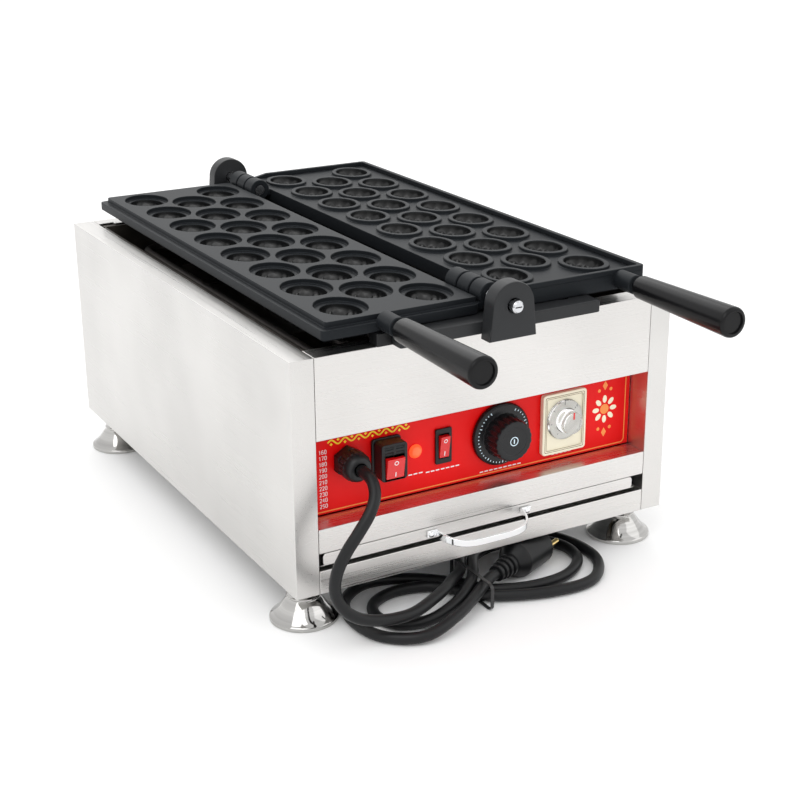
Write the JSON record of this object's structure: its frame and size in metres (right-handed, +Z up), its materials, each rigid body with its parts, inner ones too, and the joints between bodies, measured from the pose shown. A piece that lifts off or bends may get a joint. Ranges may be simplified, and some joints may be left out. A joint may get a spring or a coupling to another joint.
{
  "type": "electric walnut waffle maker",
  "caption": "Electric waffle iron for filled nut shapes: twin hinged mould plates on a steel cabinet with a thermostat, a timer, a crumb tray and bell feet.",
  "frame": {"origin": "on the floor, under the middle of the machine with its handles; the free cord and plug aren't counted", "axes": "+X to the right seen from the control panel, +Y to the back, +Z up"},
  "size_m": [0.3644, 0.655, 0.268],
  "materials": {
    "brushed_stainless": "brushed stainless sheet",
    "galvanised_steel": "dull zinc",
    "heater_steel": "heat-darkened",
    "polished_steel": "polished",
    "dark_painted_steel": "dark grey, semi-matt",
    "coated_aluminium": "dark non-stick coating",
    "black_bakelite": "smooth black",
    "black_plastic": "satin black",
    "red_plastic": "glossy red",
    "red_print": "printed red film",
    "orange_lens": "translucent lens",
    "cream_plastic": "satin cream",
    "clear_plastic": "clear",
    "copper_tube": "bare copper",
    "black_rubber": "matt black",
    "brass_pins": "bright",
    "tie_wire": "plastic-covered wire"
  },
  "bodies": {
    "cabinet": {"right_side_panel": "brushed_stainless", "left_side_panel": "brushed_stainless", "back_panel": "brushed_stainless", "front_upper_panel": "brushed_stainless", "front_rail": "brushed_stainless", "front_sill": "brushed_stainless", "control_panel": "brushed_stainless", "base_pan": "galvanised_steel", "heating_chamber": "galvanised_steel", "heater_supports": "galvanised_steel", "tray_runners": "galvanised_steel", "thermostat_body": "galvanised_steel", "heater_left": "heater_steel", "heater_right": "heater_steel", "front_hinge_pin": "polished_steel", "rear_hinge_pin": "polished_steel", "bracket_bolt_front_left": "polished_steel", "bracket_bolt_front_right": "polished_steel", "bracket_bolt_rear_left": "polished_steel", "bracket_bolt_rear_right": "polished_steel", "front_hinge_bracket": "dark_painted_steel", "rear_hinge_bracket": "dark_painted_steel", "cable_gland": "black_plastic", "gland_dome_nut": "black_plastic", "power_switch_body": "black_plastic", "alarm_switch_body": "black_plastic", "buzzer": "black_plastic", "fascia": "red_print", "pilot_lamp": "orange_lens", "timer_housing": "cream_plastic", "terminal_block": "cream_plastic", "thermostat_bulb": "copper_tube", "cord_lead": "black_rubber", "cord_hank": "black_rubber", "plug": "black_rubber", "plug_pin_a": "brass_pins", "plug_pin_b": "brass_pins", "cord_tie": "tie_wire"},
    "left_plate": {"left_plate": "coated_aluminium", "left_knuckle_1": "coated_aluminium", "left_knuckle_2": "coated_aluminium", "left_knuckle_3": "coated_aluminium", "left_handle_rod": "polished_steel", "left_handle_grip": "black_bakelite"},
    "right_plate": {"right_plate": "coated_aluminium", "right_knuckle_1": "coated_aluminium", "right_knuckle_2": "coated_aluminium", "right_knuckle_3": "coated_aluminium", "right_handle_rod": "polished_steel", "right_handle_grip": "black_bakelite"},
    "drip_tray": {"drip_tray": "brushed_stainless", "drip_tray_pull": "polished_steel"},
    "power_rocker": {"power_rocker": "red_plastic"},
    "alarm_rocker": {"alarm_rocker": "red_plastic"},
    "thermostat_knob": {"thermostat_dial": "black_bakelite"},
    "timer_knob": {"timer_knob": "clear_plastic"},
    "foot_front_left": {"foot_front_left": "polished_steel"},
    "foot_front_right": {"foot_front_right": "polished_steel"},
    "foot_rear_left": {"foot_rear_left": "polished_steel"},
    "foot_rear_right": {"foot_rear_right": "polished_steel"}
  },
  "joints": [
    {"name": "left_plate_hinge", "type": "hinge", "parent": "cabinet", "child": "left_plate", "pos_m": [0, 0.0505, 0.2495], "axis": [0, 1, 0], "range_deg": [0, 180]},
    {"name": "right_plate_hinge", "type": "hinge", "parent": "cabinet", "child": "right_plate", "pos_m": [0, 0.0505, 0.2495], "axis": [0, -1, 0], "range_deg": [0, 180]},
    {"name": "drip_tray_slide", "type": "slide", "parent": "cabinet", "child": "drip_tray", "axis": [0, -1, 0], "range_m": [0, 0.3]},
    {"name": "power_rocker_pivot", "type": "hinge", "parent": "cabinet", "child": "power_rocker", "pos_m": [-0.084, -0.1843, 0.122], "axis": [-1, 0, 0], "range_deg": [0, 18]},
    {"name": "alarm_rocker_pivot", "type": "hinge", "parent": "cabinet", "child": "alarm_rocker", "pos_m": [-0.0315, -0.1709, 0.1244], "axis": [-1, 0, 0], "range_deg": [0, 18]},
    {"name": "thermostat_turn", "type": "hinge", "parent": "cabinet", "child": "thermostat_knob", "pos_m": [0.0226, -0.18, 0.124], "axis": [0, 1, 0], "range_deg": [0, 270]},
    {"name": "timer_turn", "type": "hinge", "parent": "cabinet", "child": "timer_knob", "pos_m": [0.0842, -0.18, 0.1253], "axis": [0, 1, 0], "range_deg": [0, 300]},
    {"name": "foot_front_left_turn", "type": "hinge", "parent": "cabinet", "child": "foot_front_left", "pos_m": [-0.1546, -0.1605, 0], "axis": [0, 0, 1], "continuous": true},
    {"name": "foot_front_right_turn", "type": "hinge", "parent": "cabinet", "child": "foot_front_right", "pos_m": [0.1546, -0.1605, 0], "axis": [0, 0, 1], "continuous": true},
    {"name": "foot_rear_left_turn", "type": "hinge", "parent": "cabinet", "child": "foot_rear_left", "pos_m": [-0.1546, 0.2615, 0], "axis": [0, 0, 1], "continuous": true},
    {"name": "foot_rear_right_turn", "type": "hinge", "parent": "cabinet", "child": "foot_rear_right", "pos_m": [0.1546, 0.2615, 0], "axis": [0, 0, 1], "continuous": true}
  ]
}
